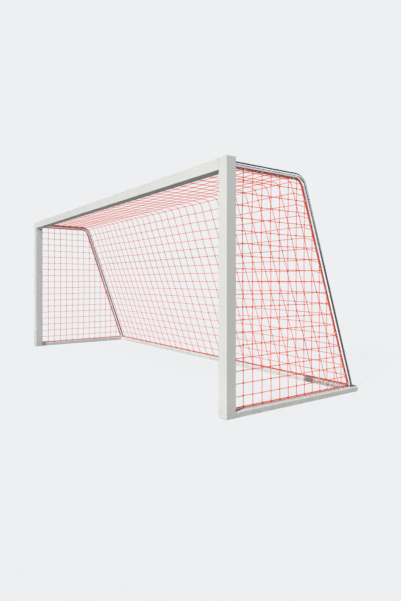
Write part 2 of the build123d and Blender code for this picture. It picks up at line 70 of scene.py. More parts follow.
# ---- how the ropes are laid ----
ROPE_PITCH = 0.042  # length of one turn of a strand
ROPE_STEP = 0.0035  # length of one stretch of its mesh
ROPE_JOIN = 0.0005  # gap between a side rope's two ends
RUN_SHADE_HEIGHT = 2.012  # above this the side ropes lie under the hoops' level runs and are given painted shade
RUN_SHADE_FADE = 0.03

# ---- the netting: mesh sizes and first twines are (in depth, in height) or (across, along) ----
TWINE_RADIUS = 0.0028
TWINE_SIDES = 6
KNOT_SIDES = 5
KNOT_STEPS = 12  # stretches in one turn of a knot
EDGE_ROOM = 0.012  # a knot keeps this far from a hitch
SIDE_MESH = (0.1062, 0.1050)
SIDE_MESH_START = (0.108, 0.089)
SIDE_MESH_END = 0.03  # the last twine keeps this far from the rope beside it
SIDE_STEP = 0.05  # length of one stretch of a twine
SIDE_SLACK = 0.004  # how far the netting wanders
SIDE_SAG = 0.006  # how far a side panel hangs into the goal
BACK_MESH = (0.1616, 0.1108)
BACK_MESH_START = 0.102  # both ways
BACK_MESH_END = 0.05
BACK_STEP = 0.036
BACK_POINTS = 101  # points of a twine from hoop to hoop
BACK_SLACK = 0.0025
ROOF_CORNER_HEIGHT = 2.055  # where roof and back meet, away from the hoops
ROOF_CORNER_BACK = 0.035  # how far behind the side ropes' corners that is
ROOF_BEND = 0.115  # how far from that corner the netting starts to bend

# ---- the view: place in metres, heading in degrees, lens in millimetres ----
CAMERA_PLACE = (5.450, -3.153, 1.097)
CAMERA_HEADING = 54.793
CAMERA_LENS = 27.72
CAMERA_SHIFT = (0.0081, -0.0315)

# ---- the lights: the way each travels, its strength, its width in degrees, and if metal mirrors it ----
LIGHTS = {
    "key": ((-0.33, 1.0, -0.57), 2.62, 1.5, True),
    "high_key": ((-0.33, 1.0, -2.0), 1.15, 6.0, True),
    "side": ((-1.0, 0.22, -0.10), 0.62, 30.0, False),
    "back": ((0.45, -1.0, -0.06), 0.80, 40.0, False),
}
BACKGROUND = (0.855, 0.863, 0.879)
FLOOR_GLOW = 0.945
FLOOR_HALF = 60.0
FLOOR_GAP = 0.0005  # from the floor up to the goal

# ---- the yarns: (light, dark) of the lay, the dark being painted shade in its grooves, lays per metre, strands, and how much of the colour glows as painted light ----
TWINE_YARN = (((0.90, 0.098, 0.016), (0.78, 0.064, 0.010)), 160.0, 3, 0.54)
# painted glow differs by rope: the side ropes get less, so they look shaded under the hoops' runs, and the
# level ropes more, so they look lit all along
SIDE_ROPE_YARN = (((0.92, 0.072, 0.018), (0.74, 0.046, 0.012)), 260.0, 4, 0.28)
LEVEL_ROPE_YARN = (((0.95, 0.088, 0.020), (0.80, 0.056, 0.012)), 260.0, 4, 0.45)
PAINTED_GLOW_TAKES = 0.7  # how much of the painted glow is taken off the yarn's lit colour
# painted shade: the dark colour of the side ropes where they lie under the hoops' level runs
RUN_SHADE_COLOUR = (0.16, 0.085, 0.07)

UP = Vector((0, 0, 1))
UP_THE_LEG = Vector((0, -math.sin(HOOP_LEAN), math.cos(HOOP_LEAN)))
CORNER_TANGENT = math.tan((math.pi / 2 - HOOP_LEAN) / 2)  # for a bend of radius 1 from the run to the leg


# ================= materials =================
class Nodes:
    """Short calls for the nodes of one tree."""

    def __init__(self, tree):
        self.tree = tree

    def node(self, kind, inputs=(), **settings):
        made = self.tree.nodes.new("ShaderNode" + kind)
        for key, value in settings.items():
            setattr(made, key, value)
        for key, value in dict(inputs).items():
            if isinstance(value, bpy.types.NodeSocket):
                self.tree.links.new(value, made.inputs[key])
            else:
                made.inputs[key].default_value = value
        return made

    def place(self, scale=(1, 1, 1)):
        """The point in the object's own frame, stretched by scale."""
        where = self.node("TexCoord").outputs["Object"]
        return self.node("Mapping", {"Vector": where, "Scale": scale}).outputs["Vector"]

    def noise(self, scale, detail=3.0, stretch=(1, 1, 1), roughness=0.5):
        """Even noise from 0 to 1, with that many features per metre."""
        inputs = {"Vector": self.place(stretch), "Scale": scale, "Detail": detail, "Roughness": roughness}
        return self.node("TexNoise", inputs).outputs["Fac"]

    def cells(self, scale):
        """Cells that each have a random value from 0 to 1, with that many per metre."""
        colour = self.node("TexVoronoi", {"Vector": self.place(), "Scale": scale}).outputs["Color"]
        return self.node("SeparateColor", {"Color": colour}).outputs["Red"]

    def height(self):
        """Height above the floor in metres."""
        return self.node("SeparateXYZ", {"Vector": self.place()}).outputs["Z"]

    def math(self, operation, a, b=0.0):
        return self.node("Math", {0: a, 1: b}, operation=operation).outputs["Value"]

    def product(self, *values):
        result = values[0]
        for value in values[1:]:
            result = self.math("MULTIPLY", result, value)
        return result

    def fit(self, value, from_low, from_high, to_low=0.0, to_high=1.0):
        """Maps a value from one span to another, held inside it."""
        spans = {"From Min": from_low, "From Max": from_high, "To Min": to_low, "To Max": to_high}
        return self.node("MapRange", {"Value": value, **spans}).outputs["Result"]

    def blend(self, factor, a, b, mode="MIX"):
        made = self.node("Mix", {"Factor": factor}, data_type="RGBA", blend_type=mode)
        for key, value in ((6, a), (7, b)):
            if isinstance(value, bpy.types.NodeSocket):
                self.tree.links.new(value, made.inputs[key])
            else:
                made.inputs[key].default_value = (*value, 1.0)
        return made.outputs[2]

    def bump(self, height, distance, strength=1.0, under=None):
        inputs = {"Height": height, "Distance": distance, "Strength": strength}
        if under is not None:
            inputs["Normal"] = under
        return self.node("Bump", inputs).outputs["Normal"]


class Shader(Nodes):
    """A node material with a Principled shader. Its sockets are named with _ for each space."""

    def __init__(self, name, roughness=0.5, metallic=0.0, **sockets):
        self.material = bpy.data.materials.new(name)
        self.material.use_nodes = True
        super().__init__(self.material.node_tree)
        self.principled = self.tree.nodes["Principled BSDF"]
        self.principled.inputs["Roughness"].default_value = roughness
        self.principled.inputs["Metallic"].default_value = metallic
        for socket, value in sockets.items():
            self.principled.inputs[socket.replace("_", " ")].default_value = value

    def join(self, **links):
        """Links the given outputs to the Principled shader and gives the material back."""
        for socket, output in links.items():
            self.tree.links.new(output, self.principled.inputs[socket.replace("_", " ")])
        return self.material


def powder_coat(name, along):
    """White powder coat: orange peel, faint draw lines along one axis, and grime near the ground."""
    shader = Shader(name, Coat_Weight=0.12, Coat_Roughness=0.25)
    stretch = [260.0, 260.0, 260.0]
    stretch[along] = 1.2
    lines = shader.noise(1.0, 2.0, stretch)
    cloud = shader.noise(2.2, 4.0)
    peel = shader.noise(850.0, 1.0)
    grain = shader.noise(2600.0, 2.0)
    speck = shader.fit(shader.noise(70.0, 6.0, roughness=0.75), 0.66, 0.74)
    patches = shader.fit(shader.noise(22.0, 6.0, roughness=0.7), 0.35, 0.75, 0.0, 0.42)
    grime = shader.product(shader.fit(shader.height(), 0.0, 0.16, 1.0, 0.0), patches)
    scuff = shader.product(speck, shader.fit(shader.height(), 0.05, 0.9, 0.30, 0.04))
    colour = shader.blend(shader.fit(cloud, 0.3, 0.7), (0.80, 0.790, 0.764), (0.84, 0.831, 0.808))
    colour = shader.blend(shader.fit(lines, 0.35, 0.65, 0.0, 0.25), colour, (0.74, 0.731, 0.712))
    colour = shader.blend(grime, colour, (0.36, 0.33, 0.29))
    colour = shader.blend(scuff, colour, (0.47, 0.46, 0.45))
    roughness = shader.fit(cloud, 0.25, 0.75, 0.34, 0.46)
    normal = shader.bump(lines, 0.00012, 0.5)
    normal = shader.bump(peel, 0.00025, 0.35, normal)
    normal = shader.bump(grain, 0.00006, 0.25, normal)
    return shader.join(Base_Color=colour, Roughness=roughness, Normal=normal)


def drawn_tube():
    """Bright plated tube: fine draw lines, soft spangle and a little dulling."""
    shader = Shader("bright_tube", metallic=1.0)
    lines = shader.noise(1.0, 3.0, (420.0, 60.0, 60.0))
    dull = shader.noise(9.0, 5.0, roughness=0.65)
    colour = shader.blend(shader.cells(130.0), (0.50, 0.51, 0.53), (0.58, 0.59, 0.61))
    colour = shader.blend(shader.fit(dull, 0.45, 0.75, 0.0, 0.5), colour, (0.42, 0.43, 0.44))
    roughness = shader.fit(dull, 0.3, 0.7, 0.13, 0.24)
    normal = shader.bump(lines, 0.00006, 0.4)
    normal = shader.bump(shader.noise(1800.0, 2.0), 0.00003, 0.3, normal)
    return shader.join(Base_Color=colour, Roughness=roughness, Normal=normal)


def cast_metal():
    """Sand-cast aluminium: pitted skin."""
    shader = Shader("cast_metal", metallic=1.0)
    skin = shader.noise(700.0, 5.0, roughness=0.7)
    stain = shader.noise(25.0, 4.0)
    colour = shader.blend(stain, (0.44, 0.45, 0.46), (0.60, 0.60, 0.61))
    roughness = shader.fit(skin, 0.3, 0.7, 0.42, 0.62)
    return shader.join(Base_Color=colour, Roughness=roughness, Normal=shader.bump(skin, 0.0003, 0.6))


def zinc_steel():
    """Zinc-plated fasteners with a faint yellow-blue passivation."""
    shader = Shader("zinc_steel", metallic=1.0)
    tint = shader.noise(90.0, 3.0)
    fine = shader.noise(1500.0, 3.0)
    colour = shader.blend(tint, (0.60, 0.58, 0.50), (0.56, 0.60, 0.66))
    roughness = shader.fit(fine, 0.3, 0.7, 0.24, 0.40)
    return shader.join(Base_Color=colour, Roughness=roughness, Normal=shader.bump(fine, 0.00005, 0.5))


def moulded_plastic(name, light, dark, plated=0.0):
    """Moulded plastic, plain or metal-plated: fine spark-eroded grain and slight flow marks."""
    shader = Shader(name, metallic=plated)
    flow = shader.noise(30.0, 4.0)
    grain = shader.noise(1400.0, 3.0)
    colour = shader.blend(flow, light, dark)
    roughness = shader.fit(grain, 0.3, 0.7, 0.38 - 0.16 * plated, 0.55 - 0.25 * plated)
    return shader.join(Base_Color=colour, Roughness=roughness, Normal=shader.bump(grain, 0.0001, 0.5))


def plain_label(corner, far_corner):
    """A pale film label with a band of plain slanted bars and a slightly worn face."""
    shader = Shader("label_film", Coat_Weight=0.3, Coat_Roughness=0.12)
    where = shader.node("SeparateXYZ", {"Vector": shader.place()})
    x, z = where.outputs["X"], where.outputs["Z"]
    slanted = shader.math("SUBTRACT", x, shader.product(z, 0.5))
    bars_per_metre = 26.0
    bars = shader.fit(shader.math("FRACT", shader.product(slanted, bars_per_metre)), 0.40, 0.44)
    height = far_corner.z - corner.z
    above = shader.fit(z, corner.z + 0.16 * height, corner.z + 0.20 * height)
    below = shader.fit(z, far_corner.z - 0.20 * height, far_corner.z - 0.16 * height, 1.0, 0.0)
    colour = shader.blend(shader.product(bars, above, below), (0.78, 0.78, 0.78), (0.30, 0.33, 0.34))
    worn = shader.fit(shader.noise(60.0, 5.0), 0.5, 0.8, 0.0, 0.3)
    colour = shader.blend(worn, colour, (0.66, 0.66, 0.65))
    roughness = shader.fit(shader.noise(40.0, 4.0), 0.3, 0.7, 0.25, 0.42)
    normal = shader.bump(shader.noise(900.0), 0.00004, 0.4)
    return shader.join(Base_Color=colour, Roughness=roughness, Normal=normal)


def twisted_yarn(name, colours, lays_per_metre, strands, glow, shaded_under_run=False):
    """Polyester yarn that emits a share of its own colour as painted light, which keeps shaded twines bright,
    and is painted dark with shade high up if asked.

    The lay runs slantwise round the cord, from the mesh's own map of length and turn. Its dark turns are
    painted shade in the grooves between strands.
    """
    light, dark = colours
    # painted glow: the yarn emits a share of its own colour, painted light that keeps twines in shade bright
    shader = Shader(name, roughness=0.62, Sheen_Weight=0.12, Sheen_Roughness=0.4, Emission_Strength=glow)
    where = shader.node("SeparateXYZ", {"Vector": shader.node("UVMap", uv_map="Lay").outputs["UV"]})
    along = shader.product(where.outputs["X"], lays_per_metre)
    around = shader.product(where.outputs["Y"], strands)
    phase = shader.product(shader.math("ADD", along, around), 2 * math.pi)
    lay = shader.math("POWER", shader.fit(shader.math("SINE", phase), -1.0, 1.0), 0.6)
    fibre = shader.noise(1900.0, 3.0)
    fade = shader.fit(shader.noise(3.0, 4.0), 0.4, 0.75, 0.0, 0.22)
    faded = tuple(0.9 * channel + 0.06 for channel in light)
    # painted shade: the lay's grooves, where its bump is low, get the dark colour
    colour = shader.blend(lay, dark, light)
    colour = shader.blend(fade, colour, faded)
    colour = shader.blend(shader.fit(fibre, 0.55, 0.8, 0.0, 0.25), colour, dark)
    # painted shade, in patches, on the side ropes high up under the hoops' level runs
    if shaded_under_run:
        high = shader.fit(shader.height(), RUN_SHADE_HEIGHT - RUN_SHADE_FADE, RUN_SHADE_HEIGHT)
        patches = shader.fit(shader.noise(40.0, 4.0), 0.3, 0.6, 0.55, 0.95)
        colour = shader.blend(shader.product(high, patches), colour, RUN_SHADE_COLOUR)
    normal = shader.bump(lay, 0.0004, 0.7)
    normal = shader.bump(fibre, 0.0001, 0.4, normal)
    # the lit colour is cut by a share of the painted glow, so lit yarn keeps its brightness while shaded yarn
    # stays bright
    kept = 1.0 - PAINTED_GLOW_TAKES * glow
    body = shader.blend(1.0, colour, (kept, kept, kept), "MULTIPLY")
    return shader.join(Base_Color=body, Emission_Color=colour, Normal=normal)


def paint_nodes():
    """Gives each CAD node that stays its material."""
    across = powder_coat("powder_coat_across", 0)
    back = powder_coat("powder_coat_back", 1)
    upright = powder_coat("powder_coat_upright", 2)
    clip = moulded_plastic("clip_plastic", (0.56, 0.57, 0.59), (0.50, 0.51, 0.53), plated=0.95)
    by_node = {
        "crossbar": across,
        "rear_rail": across,
        "blank_label": plain_label(*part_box("blank_label")),
        "post_left": upright,
        "post_right": upright,
        "ground_rail_left": back,
        "ground_rail_right": back,
        "hoop_clips_left": clip,
        "hoop_clips_right": clip,
    }
    by_slot = {
        "bright_tube": drawn_tube(),
        "cast_metal": cast_metal(),
        "zinc_steel": zinc_steel(),
        "end_plastic": moulded_plastic("white_plastic", (0.80, 0.80, 0.79), (0.74, 0.74, 0.73)),
        "foot_plastic": moulded_plastic("foot_plastic", (0.62, 0.62, 0.61), (0.54, 0.54, 0.53)),
        "hook_plastic": moulded_plastic("hook_plastic", (0.76, 0.76, 0.74), (0.68, 0.68, 0.66)),
    }
    for part in frame["record"]["subparts"]:
        material = by_node.get(part["node"]) or by_slot.get(part["material_slot"])
        if material is None:
            continue
        mesh = frame["nodes"][part["node"]].data
        mesh.materials.clear()
        mesh.materials.append(material)


# ================= tubes =================
def unit(vectors):
    """The vectors, each at length 1."""
    return vectors / np.maximum(np.linalg.norm(vectors, axis=-1, keepdims=True), 1e-12)


def directions(points, closed=False):
    """The way a line runs at each of its points."""
    if closed:
        return unit(np.roll(points, -1, axis=0) - np.roll(points, 1, axis=0))
    return unit(np.gradient(points, axis=0))


def axes_around(forward, side):
    """Two directions square to forward and to each other, the first of them towards side."""
    side = np.broadcast_to(np.asarray(side, float), forward.shape)
    first = unit(side - (side * forward).sum(1, keepdims=True) * forward)
    return first, np.cross(forward, first)


def lengths_along(points):
    """How far along a line each of its points is."""
    return np.concatenate([[0.0], np.cumsum(np.linalg.norm(np.diff(points, axis=0), axis=1))])


class Builder:
    """Gathers tubes and closed loops, and makes one mesh of them with a map of length and turn."""

    def __init__(self):
        self.points = []
        self.faces = []
        self.maps = []
        self.count = 0

    def add(self, points, faces, maps):
        self.points.append(points)
        self.faces.append(faces + self.count)
        self.maps.append(maps)
        self.count += len(points)

    def tube(self, line, radius, side, sides=TWINE_SIDES, closed=False):
        """A tube along a line. side is a direction, or one for each point, that is never along the line."""
        line = np.asarray(line, float)
        first, second = axes_around(directions(line, closed), side)
        turn = np.linspace(0, 2 * math.pi, sides, endpoint=False)[None, :, None]
        ring = np.cos(turn) * first[:, None] + np.sin(turn) * second[:, None]
        points = (line[:, None] + radius * ring).reshape(-1, 3)
        rows = len(line)
        spans = rows if closed else rows - 1
        i, j = np.meshgrid(np.arange(spans), np.arange(sides), indexing="ij")
        i2, j2 = (i + 1) % rows, (j + 1) % sides
        corners = np.stack([i * sides + j, i * sides + j2, i2 * sides + j2, i2 * sides + j], axis=-1)
        along = lengths_along(np.vstack([line, line[:1]]) if closed else line)
        low, high = along[:-1][:, None] + 0 * j, along[1:][:, None] + 0 * j
        v, v2 = j / sides, (j + 1) / sides
        maps = np.stack([np.stack(pair, -1) for pair in ((low, v), (low, v2), (high, v2), (high, v))], axis=2)
        self.add(points, corners.reshape(-1, 4), maps.reshape(-1, 4, 2))
        if not closed:
            self.cap(points, rows, sides)

    def cap(self, points, rows, sides):
        """Closes a tube's two ends with fans of quads round a middle point. An odd ring doubles one wedge."""
        base = self.count - len(points)
        for row, flip in ((0, True), (rows - 1, False)):
            ring = np.arange(sides) + row * sides
            middle = points[ring].mean(axis=0, keepdims=True)
            order = ring[::-1] if flip else ring
            quads = [
                [base + order[k], base + order[(k + 1) % sides], base + order[(k + 2) % sides], self.count]
                for k in range(0, sides, 2)
            ]
            self.points.append(middle)
            self.faces.append(np.array(quads))
            self.maps.append(np.zeros((len(quads), 4, 2)))
            self.count += 1

    def copies(self, shape, places, frames):
        """The shape (points, faces, maps) at each place, with its axes along the rows of each frame."""
        points, faces, maps = shape
        moved = np.einsum("pk,nkc->npc", points, frames) + places[:, None]
        offsets = np.arange(len(places))[:, None, None] * len(points)
        all_faces = (faces[None] + offsets).reshape(-1, 4)
        self.add(moved.reshape(-1, 3), all_faces, np.tile(maps, (len(places), 1, 1)))

    def make(self, name, material, node):
        """Makes the piece, which stands in for the CAD node."""
        points, faces = np.vstack(self.points), np.vstack(self.faces)
        maps = np.concatenate(self.maps)
        mesh = bpy.data.meshes.new(name)
        mesh.vertices.add(len(points))
        mesh.vertices.foreach_set("co", points.astype(np.float32).ravel())
        mesh.loops.add(faces.size)
        mesh.loops.foreach_set("vertex_index", faces.astype(np.int32).ravel())
        mesh.polygons.add(len(faces))
        mesh.polygons.foreach_set("loop_start", np.arange(0, faces.size, 4, dtype=np.int32))
        mesh.polygons.foreach_set("use_smooth", np.ones(len(faces), bool))
        mesh.update(calc_edges=True)
        mesh.validate()
        layer = mesh.uv_layers.new(name="Lay")
        layer.data.foreach_set("uv", maps.astype(np.float32).ravel())
        mesh.materials.append(material)
        piece = bpy.data.objects.new(name, mesh)
        bpy.context.scene.collection.objects.link(piece)
        piece.visible_diffuse = False  # the netting throws no coloured light on the frame
        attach(piece, "root")
        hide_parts(node)


def loose_tube(line, radius, side):
    """A closed tube on its own, as (points, faces, maps)."""
    maker = Builder()
    maker.tube(line, radius, side, KNOT_SIDES, closed=True)
    return maker.points[0], maker.faces[0], maker.maps[0]


# ================= the hoop's line and the ropes =================
class Hoop:
    """The line of one side's hoop in the YZ plane, and lines set in from it."""

    def __init__(self, node):
        low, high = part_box(node)
        self.x = (low.x + high.x) / 2
        self.run = high.z - HOOP_RADIUS
        self.foot_z = low.z
        self.foot_y = high.y - HOOP_RADIUS / math.cos(HOOP_LEAN)

    def leg_y(self, z, inset):
        """Depth of the leg at a height."""
        return self.foot_y - inset / math.cos(HOOP_LEAN) - (z - self.foot_z) * math.tan(HOOP_LEAN)

    def leg_z(self, y, inset):
        """Height of the leg at a depth."""
        return self.foot_z + (self.foot_y - inset / math.cos(HOOP_LEAN) - y) / math.tan(HOOP_LEAN)

    def corner(self, inset):
        """Where the run and the leg would cross, as (y, z)."""
        z = self.run - inset
        return self.leg_y(z, inset), z


def smooth_line(points):
    """Points along the open NURBS line that has these control points."""
    curve = bpy.data.curves.new("line", "CURVE")
    curve.dimensions = "3D"
    curve.resolution_u = 24
    spline = curve.splines.new("NURBS")
    spline.points.add(len(points) - 1)
    for point, place in zip(spline.points, points):
        point.co = (*place, 1.0)
    spline.order_u = 3
    spline.use_endpoint_u = True
    holder = bpy.data.objects.new("line", curve)
    mesh = bpy.data.meshes.new_from_object(holder)
    line = np.array([v.co for v in mesh.vertices], float)
    bpy.data.meshes.remove(mesh)
    bpy.data.curves.remove(curve)
    return line


def respaced(line, step):
    """The same line in even steps."""
    along = lengths_along(line)
    at = np.linspace(0, along[-1], max(2, round(along[-1] / step) + 1))
    return np.stack([np.interp(at, along, line[:, k]) for k in range(3)], axis=1)


def rope(line, side, which, material):
    """An edge rope of three strands laid round a line, each with its own yarn lay."""
    line = respaced(line, ROPE_STEP)
    first, second = axes_around(directions(line), side)
    strand = ROPE_RADIUS / (1 + 2 / math.sqrt(3))
    pressed = 1.04
    turns = 2 * math.pi * lengths_along(line) / ROPE_PITCH
    made = Builder()
    for k in range(3):
        angle = (turns + 2 * math.pi * k / 3)[:, None]
        outward = np.cos(angle) * first + np.sin(angle) * second
        made.tube(line + (ROPE_RADIUS - strand) * outward, strand * pressed, outward, 7)
    made.make(f"edge_rope_{which}", material, f"net_edge_rope_{which}")


def side_rope_line(hoop, front, floor):
    """The closed run of one side's edge rope: down the post, along the rail, up the leg and home."""
    corner_y, top = hoop.corner(ROPE_INSET)
    foot = hoop.leg_y(floor, ROPE_INSET)
    back = Vector((0, 1, 0))
    corners = [
        (Vector((hoop.x, front, floor)), -UP, back, ROPE_CORNER),
        (Vector((hoop.x, foot, floor)), back, UP_THE_LEG, ROPE_CORNER / CORNER_TANGENT),
        (Vector((hoop.x, corner_y, top)), UP_THE_LEG, -back, (HOOP_BEND - ROPE_INSET) * CORNER_TANGENT),
        (Vector((hoop.x, front, top)), -back, -UP, ROPE_CORNER),
    ]
    start = Vector((hoop.x, front, top - 2 * ROPE_CORNER - 2 * ROPE_JOIN))
    points = [start]
    for place, coming, going, reach in corners:
        points += [place - 2 * reach * coming, place, place + 2 * reach * going]
    points[-1] = start + ROPE_JOIN * UP
    return smooth_line(points)


# ================= netting =================
def trefoil():
    """A small overhand knot of twine, flat in z, as (points, faces, maps)."""
    t = np.linspace(0, 2 * math.pi, KNOT_STEPS, endpoint=False)
    x = np.sin(t) + 2 * np.sin(2 * t)
    y = np.cos(t) - 2 * np.cos(2 * t)
    z = -1.1 * np.sin(3 * t)
    size = TWINE_RADIUS * 0.95
    return loose_tube(size * np.stack([x, y, z], -1), TWINE_RADIUS * 0.98, (0.02, 0.03, 1.0))


def hitch():
    """Two turns of twine round a rope that runs along z, as (points, faces, maps)."""
    t = np.linspace(0, 2 * math.pi, KNOT_STEPS, endpoint=False)
    reach = ROPE_RADIUS + TWINE_RADIUS * 0.8
    turns = []
    for lift in (-0.9, 0.9):
        line = np.stack([reach * np.cos(t), reach * np.sin(t), TWINE_RADIUS * (lift + 0.5 * np.sin(t))], -1)
        turns.append(loose_tube(line, TWINE_RADIUS * 0.9, (0, 0, 1)))
    points = np.vstack([turns[0][0], turns[1][0]])
    faces = np.vstack([turns[0][1], turns[1][1] + len(turns[0][0])])
    return points, faces, np.vstack([turns[0][2], turns[1][2]])


def frames(normals, along, rng):
    """Right-handed axes whose third is the normal, turned by a random angle about it."""
    normals = unit(np.asarray(normals, float))
    first = unit(np.cross(along, normals))
    second = np.cross(normals, first)
    angle = rng.uniform(0, 2 * math.pi, len(normals))[:, None]
    x = np.cos(angle) * first + np.sin(angle) * second
    return np.stack([x, np.cross(normals, x), normals], axis=1)


def slack(points, amount):
    """A smooth small wander of the netting, the same for every twine through a place."""
    x, y, z = points[:, 0], points[:, 1], points[:, 2]
    shift = np.stack(
        [
            np.sin(3.1 * y + 5.3 * z + 0.7) * np.cos(2.3 * x - 1.9 * z),
            np.sin(4.7 * x + 2.9 * z + 1.3) * np.cos(3.7 * y + 1.1 * x),
            np.sin(5.9 * x - 3.3 * y + 2.1) * np.cos(4.1 * z + 2.7 * x),
        ],
        axis=-1,
    )
    fine = np.stack([np.sin(31 * y + 27 * z), np.sin(29 * x + 33 * z + 1), np.sin(37 * x + 23 * y + 2)], -1)
    return points + amount * shift + 0.25 * amount * fine


class SidePanel:
    """The outline of one side's rope, inside which its netting is tied."""

    def __init__(self, hoop, front, floor):
        self.hoop = hoop
        self.front = front
        self.floor = floor
        corner_y, self.top = hoop.corner(ROPE_INSET)
        self.foot = hoop.leg_y(floor, ROPE_INSET)
        self.bend = HOOP_BEND - ROPE_INSET
        self.bend_y = corner_y - self.bend * CORNER_TANGENT
        self.bend_z = self.top - self.bend

    def top_at(self, y):
        """Height of the rope over a place on the rail."""
        if y <= self.bend_y:
            return self.top
        if y <= self.bend_y + self.bend * math.cos(HOOP_LEAN):
            return self.bend_z + math.sqrt(self.bend**2 - (y - self.bend_y) ** 2)
        return self.hoop.leg_z(y, ROPE_INSET)

    def back_at(self, z):
        """Depth of the rope at a height."""
        if z >= self.bend_z + self.bend * math.sin(HOOP_LEAN):
            return self.bend_y + math.sqrt(max(self.bend**2 - (z - self.bend_z) ** 2, 0.0))
        return self.hoop.leg_y(z, ROPE_INSET)

    def eased(self, points):
        """The points moved by the panel's wander and sag, which fade out at the rail and under the run."""
        points = np.asarray(points, float)
        lowest, highest, over = 0.06, 2.02, 0.3
        z = points[:, 2]
        middle = np.clip((z - lowest) / over, 0, 1) * np.clip((highest - z) / over, 0, 1)
        out = points + (slack(points, SIDE_SLACK) - points) * middle[:, None]
        out[:, 0] -= math.copysign(SIDE_SAG, self.hoop.x) * middle
        return out


def side_netting(panel, which, material):
    """Square netting inside one side's rope: upright and level twines, knots, and hitches on the rope."""
    made = Builder()
    rng = np.random.default_rng(7)
    x, front, floor = panel.hoop.x, panel.front, panel.floor
    depths = np.arange(front + SIDE_MESH_START[0], panel.foot - SIDE_MESH_END, SIDE_MESH[0])
    levels = np.arange(floor + SIDE_MESH_START[1], panel.top - SIDE_MESH_END, SIDE_MESH[1])
    ends, rope_ways, knots = [], [], []

    def twine(line, first_way, last_way):
        made.tube(panel.eased(line), TWINE_RADIUS, (1, 0, 0))
        ends.extend([line[0], line[-1]])
        rope_ways.extend([first_way, last_way])

    for y in depths:
        high = panel.top_at(y)
        z = np.linspace(floor, high, max(3, round((high - floor) / SIDE_STEP)))
        line = np.stack([np.full_like(z, x), np.full_like(z, y), z], -1)
        twine(line, (0, 1, 0), (0, 1, 0) if y < panel.bend_y else tuple(UP_THE_LEG))
    for z in levels:
        back = panel.back_at(z)
        y = np.linspace(front, back, max(3, round((back - front) / SIDE_STEP)))
        line = np.stack([np.full_like(y, x), y, np.full_like(y, z)], -1)
        twine(line, (0, 0, 1), tuple(UP_THE_LEG))
        knots += [(x, depth, z) for depth in depths if depth < back - EDGE_ROOM]
    normals = np.tile([1.0, 0, 0], (len(knots), 1))
    made.copies(trefoil(), panel.eased(knots), frames(normals, (0, 0, 1), rng))
    made.copies(hitch(), np.array(ends), frames(rope_ways, (1, 0, 0), rng))
    made.make(f"netting_{which}", material, f"net_side_{which}")


class Roof:
    """The roof and back of the netting as a surface: x is across, and s along it from the rear rail up."""

    def __init__(self, hoop, front_rope, rear_rope):
        self.front = Vector((0, *front_rope))
        self.rear = Vector((0, *rear_rope))
        self.half = abs(hoop.x)
        side_corner = Vector((0, *hoop.corner(ROPE_INSET)))
        mid_corner = Vector((0, side_corner.y + ROOF_CORNER_BACK, ROOF_CORNER_HEIGHT))
        self.side = self.profile(side_corner)
        self.middle = self.profile(mid_corner)
        self.length = lengths_along(self.middle)[-1]

    def profile(self, corner):
        """The section: flat back and flat roof that meet in a bend."""
        to_front = (self.front - corner).normalized()
        to_rear = (self.rear - corner).normalized()
        behind = [corner + reach * ROOF_BEND * to_rear for reach in (2, 1)]
        before = [corner + reach * ROOF_BEND * to_front for reach in (1, 2)]
        return smooth_line([self.rear, *behind, corner, *before, self.front])

    def along(self, line, s):
        """Points a share s of the way along a section."""
        share = lengths_along(line)
        share = share / share[-1]
        return np.stack([np.interp(s, share, line[:, k]) for k in (1, 2)], -1)

    def at(self, x, s):
        """Points for arrays of x and s: level across, but drawn in to the side ropes over the last mesh."""
        share = s / self.length
        inside = np.clip((self.half - np.abs(x)) / BACK_MESH[0], 0, 1)[:, None]
        inside = inside * inside * (3 - 2 * inside)
        yz = (1 - inside) * self.along(self.side, share) + inside * self.along(self.middle, share)
        points = np.column_stack([x, yz])
        fade = 0.05
        free = inside[:, 0] * np.clip(share / fade, 0, 1) * np.clip((1 - share) / fade, 0, 1)
        return points + (slack(points, BACK_SLACK) - points) * free[:, None]


def roof_netting(roof, material):
    """The roof and back: twines from rear rail to crossbar, twines from hoop to hoop, and their knots."""
    across = np.arange(BACK_MESH_START - roof.half, roof.half - BACK_MESH_END, BACK_MESH[0])
    steps = np.arange(BACK_MESH_START, roof.length - BACK_MESH_END, BACK_MESH[1])
    made = Builder()
    rng = np.random.default_rng(11)
    ends, rope_ways = [], []
    along = np.linspace(0, roof.length, round(roof.length / BACK_STEP) + 1)
    for x in across:
        line = roof.at(np.full_like(along, x), along)
        made.tube(line, TWINE_RADIUS, (1, 0, 0))
        ends += [line[0], line[-1]]
        rope_ways += [(1, 0, 0), (1, 0, 0)]
    wide = np.linspace(-roof.half, roof.half, BACK_POINTS)
    for s in steps:
        line = roof.at(wide, np.full_like(wide, s))
        made.tube(line, TWINE_RADIUS, (0, 0.6, 0.8))
        up_the_rope = roof.at(wide[:1], np.array([s + 0.01]))[0] - line[0]
        ends += [line[0], line[-1]]
        rope_ways += [up_the_rope, up_the_rope]
    made.copies(hitch(), np.array(ends), frames(rope_ways, (0.1, 0.9, -0.43), rng))
    x, s = [grid.ravel() for grid in np.meshgrid(across, steps)]
    knots = roof.at(x, s)
    up_the_net = roof.at(x, s + 0.004) - knots
    normals = np.cross(np.tile([1.0, 0, 0], (len(knots), 1)), up_the_net)
    made.copies(trefoil(), knots, frames(normals, (1, 0, 0.02), rng))
    made.make("netting_roof_and_back", material, "net_roof_and_back")


